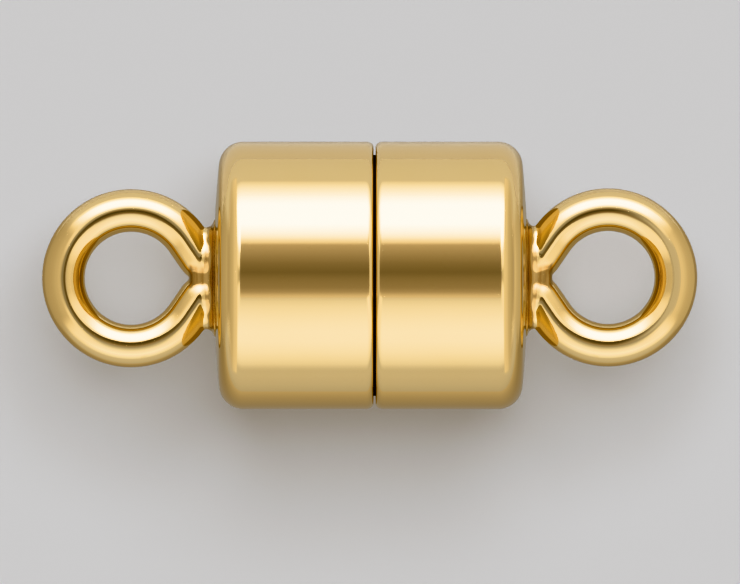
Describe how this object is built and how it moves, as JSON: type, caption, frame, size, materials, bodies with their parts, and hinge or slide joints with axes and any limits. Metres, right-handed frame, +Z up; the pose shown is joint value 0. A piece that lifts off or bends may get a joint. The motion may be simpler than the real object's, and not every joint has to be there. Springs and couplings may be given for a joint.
{
  "type": "magnetic clasp",
  "caption": "Barrel magnetic clasp in polished gold-tone metal: cups with domed ends that meet at a thin seam, each with a soldered wire eye for a chain or jump ring.",
  "frame": {"origin": "on the barrel's axis, midway between the far sides of the two eyes", "axes": "+X along the barrel's axis from the longer half to the shorter one, +Y across it in the plane of both eyes, +Z up, square to the eyes"},
  "size_m": [0.0148, 0.006, 0.006],
  "materials": {
    "gold": "mirror polished, gold plated",
    "nickel": "bright nickel plate"
  },
  "bodies": {
    "left_half": {"left_shell": "gold", "left_magnet": "nickel"},
    "right_half": {"right_shell": "gold", "right_magnet": "nickel"}
  },
  "joints": [
    {"name": "pull_apart", "type": "slide", "parent": "left_half", "child": "right_half", "axis": [1, 0, 0], "range_m": [0, 0.012]}
  ]
}
